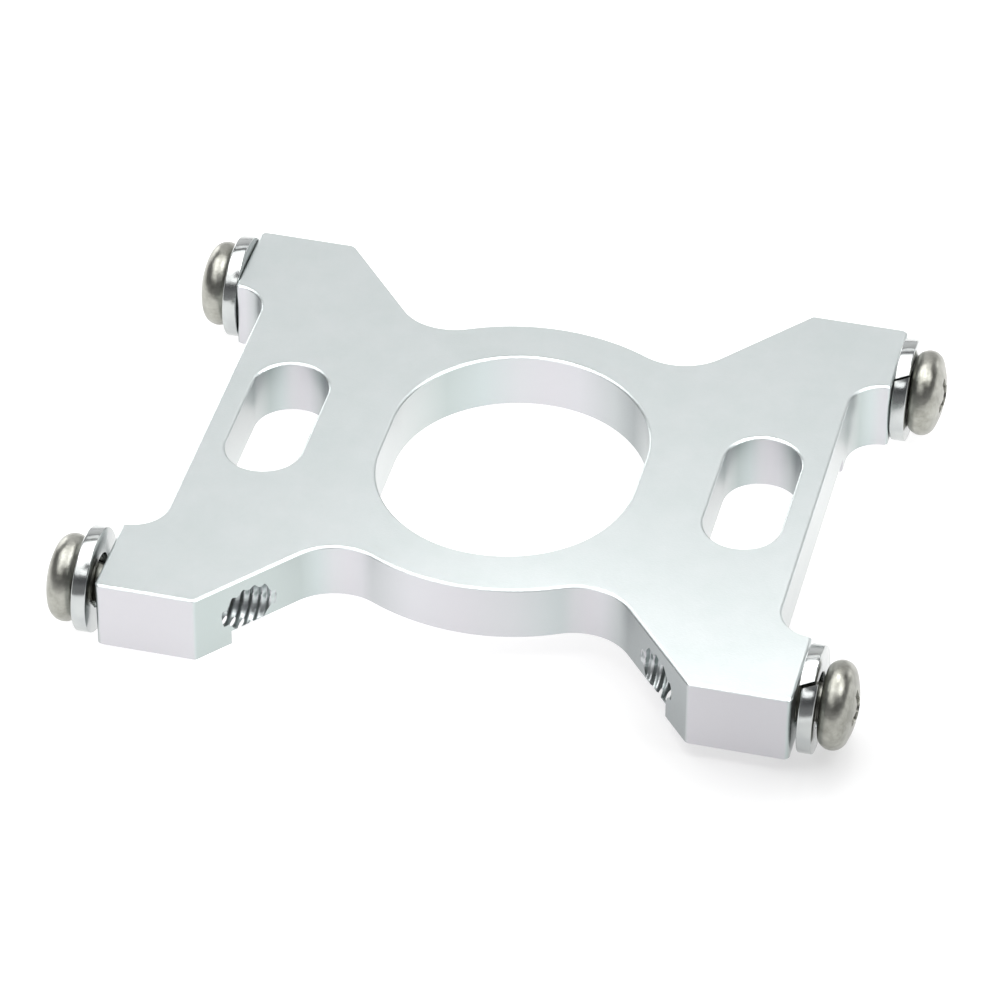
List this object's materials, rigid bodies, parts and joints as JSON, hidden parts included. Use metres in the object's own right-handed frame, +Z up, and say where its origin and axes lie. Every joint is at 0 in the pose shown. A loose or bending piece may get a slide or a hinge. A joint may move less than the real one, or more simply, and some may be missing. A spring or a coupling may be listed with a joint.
{
  "type": "motor mounting plate",
  "caption": "Flat metal plate that holds a motor between two side frames: slotted round seat, and arms with a screw and spring lock washer in each end.",
  "frame": {"origin": "middle of the plate, on the face that the motor sits against, halfway between the two motor slots", "axes": "+X along the frame screws, +Y along the motor slots, +Z up out of the plate's flat top, away from the motor"},
  "size_m": [0.0412, 0.0308, 0.0055],
  "materials": {
    "plate_aluminium": "satin, finely blasted",
    "screw_steel": "polished nickel plate",
    "washer_steel": "bright zinc plate"
  },
  "bodies": {
    "plate": {"plate": "plate_aluminium"},
    "lock_washer_near_left": {"washer_near_left": "washer_steel"},
    "frame_screw_near_left": {"screw_near_left": "screw_steel"},
    "lock_washer_near_right": {"washer_near_right": "washer_steel"},
    "frame_screw_near_right": {"screw_near_right": "screw_steel"},
    "lock_washer_far_left": {"washer_far_left": "washer_steel"},
    "frame_screw_far_left": {"screw_far_left": "screw_steel"},
    "lock_washer_far_right": {"washer_far_right": "washer_steel"},
    "frame_screw_far_right": {"screw_far_right": "screw_steel"}
  },
  "joints": [
    {"name": "washer_slide_near_left", "type": "slide", "parent": "plate", "child": "lock_washer_near_left", "axis": [-1, 0, 0], "range_m": [-0.00041, 0.00405]},
    {"name": "screw_turn_near_left", "type": "hinge", "parent": "lock_washer_near_left", "child": "frame_screw_near_left", "pos_m": [-0.01815, -0.0127, 0.0012], "axis": [-1, 0, 0], "range_deg": [-329, 3241]},
    {"name": "washer_slide_near_right", "type": "slide", "parent": "plate", "child": "lock_washer_near_right", "axis": [1, 0, 0], "range_m": [-0.00012, 0.0045]},
    {"name": "screw_turn_near_right", "type": "hinge", "parent": "lock_washer_near_right", "child": "frame_screw_near_right", "pos_m": [0.01815, -0.0127, 0.0012], "axis": [1, 0, 0], "range_deg": [-97, 3601]},
    {"name": "washer_slide_far_left", "type": "slide", "parent": "plate", "child": "lock_washer_far_left", "axis": [-1, 0, 0], "range_m": [-0.00001, 0.00495]},
    {"name": "screw_turn_far_left", "type": "hinge", "parent": "lock_washer_far_left", "child": "frame_screw_far_left", "pos_m": [-0.01815, 0.0127, 0.0012], "axis": [-1, 0, 0], "range_deg": [-9, 3961]},
    {"name": "washer_slide_far_right", "type": "slide", "parent": "plate", "child": "lock_washer_far_right", "axis": [1, 0, 0], "range_m": [-0.00002, 0.00495]},
    {"name": "screw_turn_far_right", "type": "hinge", "parent": "lock_washer_far_right", "child": "frame_screw_far_right", "pos_m": [0.01815, 0.0127, 0.0012], "axis": [1, 0, 0], "range_deg": [-17, 3961]}
  ],
  "couplings": [
    {"joint": "screw_turn_near_left", "follows": "washer_slide_near_left", "rad_per_m": 13963},
    {"joint": "screw_turn_near_right", "follows": "washer_slide_near_right", "rad_per_m": 13963},
    {"joint": "screw_turn_far_left", "follows": "washer_slide_far_left", "rad_per_m": 13963},
    {"joint": "screw_turn_far_right", "follows": "washer_slide_far_right", "rad_per_m": 13963}
  ]
}
